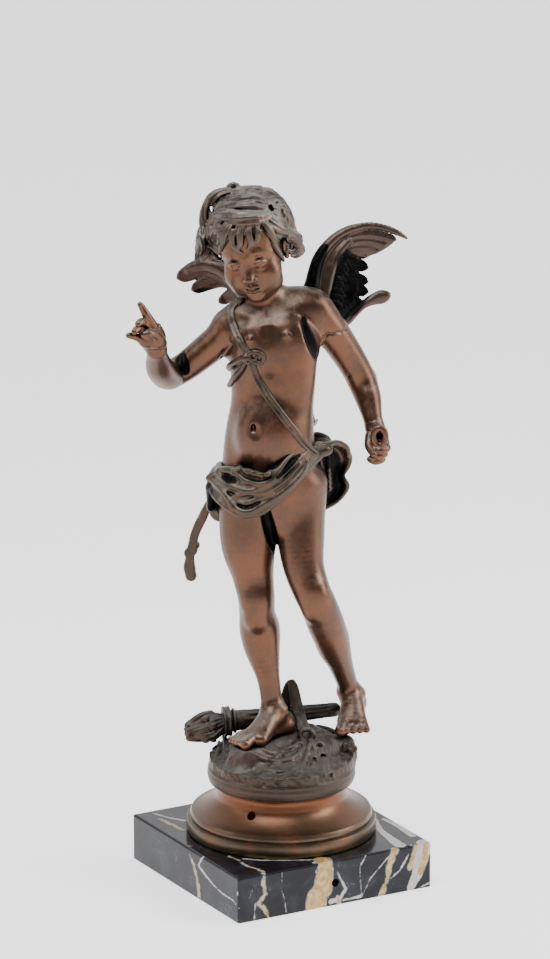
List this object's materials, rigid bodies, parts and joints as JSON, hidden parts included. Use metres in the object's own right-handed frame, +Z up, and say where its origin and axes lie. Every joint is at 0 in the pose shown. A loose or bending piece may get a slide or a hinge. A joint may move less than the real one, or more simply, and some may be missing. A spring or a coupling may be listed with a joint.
{
  "type": "bronze statue",
  "caption": "Cast bronze statuette of a winged child in a hip cloth, standing on a rocky mound with a torch, on a turned metal socle and a square marble plinth.",
  "frame": {"origin": "centre of the plinth's underside, on the surface that it stands on", "axes": "+Z is up. The plinth's sides are square to X and Y, and its drilled side faces -Y. The figure faces -Y turned 29 degrees clockwise seen from above."},
  "size_m": [0.2231, 0.1575, 0.5069],
  "materials": {
    "plinth_marble": "polished black marble with gold and white veins",
    "socle_bronze": "turned, copper-brown patina, satin",
    "figure_bronze": "cast, warm brown patina, satin",
    "dark_bronze": "cast, grey-olive patina, dark in the hollows"
  },
  "bodies": {
    "root": {"plinth": "plinth_marble", "socle": "socle_bronze", "mound": "dark_bronze", "torch": "dark_bronze", "figure": "figure_bronze", "left_wing": "dark_bronze", "right_wing": "dark_bronze", "bow": "dark_bronze"}
  },
  "joints": []
}
